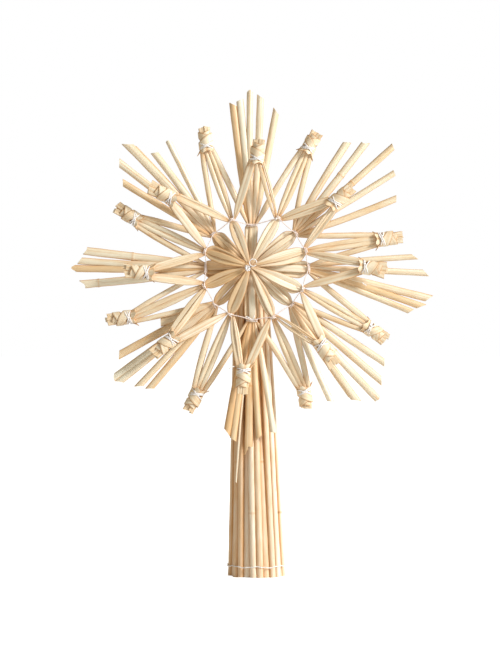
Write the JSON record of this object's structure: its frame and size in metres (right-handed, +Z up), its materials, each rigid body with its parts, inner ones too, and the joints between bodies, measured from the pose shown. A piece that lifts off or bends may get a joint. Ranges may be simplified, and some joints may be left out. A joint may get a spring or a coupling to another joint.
{
  "type": "straw star ornament",
  "caption": "Plaited straw star with knotted ray ends and free spikes, on a hollow tapering sleeve of straws that slips over the top of a tree.",
  "frame": {"origin": "centre of the object's box at the level of the sleeve's cut foot", "axes": "+Z up along the sleeve, -Y the way the star faces, +X to the right as seen from the front"},
  "size_m": [0.1995, 0.0387, 0.2685],
  "materials": {
    "straw": "natural straw with a satin gloss along its fibres",
    "flattened_straw": "natural straw, pressed flat and creased",
    "thread": "off-white twisted sewing thread, matt"
  },
  "bodies": {
    "root": {"front_bundle_1": "flattened_straw", "front_bundle_2": "flattened_straw", "front_bundle_3": "flattened_straw", "front_bundle_4": "flattened_straw", "back_bundle_1": "flattened_straw", "back_bundle_2": "flattened_straw", "back_bundle_3": "flattened_straw", "back_bundle_4": "flattened_straw", "inner_knot_1": "straw", "inner_knot_2": "straw", "inner_knot_3": "straw", "inner_knot_4": "straw", "inner_knot_5": "straw", "inner_knot_6": "straw", "inner_knot_7": "straw", "inner_knot_8": "straw", "outer_knot_1": "straw", "outer_knot_2": "straw", "outer_knot_3": "straw", "outer_knot_4": "straw", "outer_knot_5": "straw", "outer_knot_6": "straw", "outer_knot_7": "straw", "outer_knot_8": "straw", "stem_straw_01": "straw", "stem_straw_02": "straw", "stem_straw_03": "straw", "stem_straw_04": "straw", "stem_straw_05": "straw", "stem_straw_06": "straw", "stem_straw_07": "straw", "stem_straw_08": "straw", "stem_straw_09": "straw", "stem_straw_10": "straw", "stem_straw_11": "straw", "stem_straw_12": "straw", "stem_straw_13": "straw", "stem_straw_14": "straw", "stem_straw_15": "straw", "stem_straw_16": "straw", "stem_straw_17": "straw", "stem_straw_18": "straw", "stem_straw_19": "straw", "stem_straw_20": "straw", "stem_straw_21": "straw", "stem_straw_22": "straw", "stem_straw_23": "straw", "stem_straw_24": "straw", "ring_thread": "thread", "centre_thread": "thread", "stem_binding": "thread", "foot_thread": "thread"}
  },
  "joints": []
}
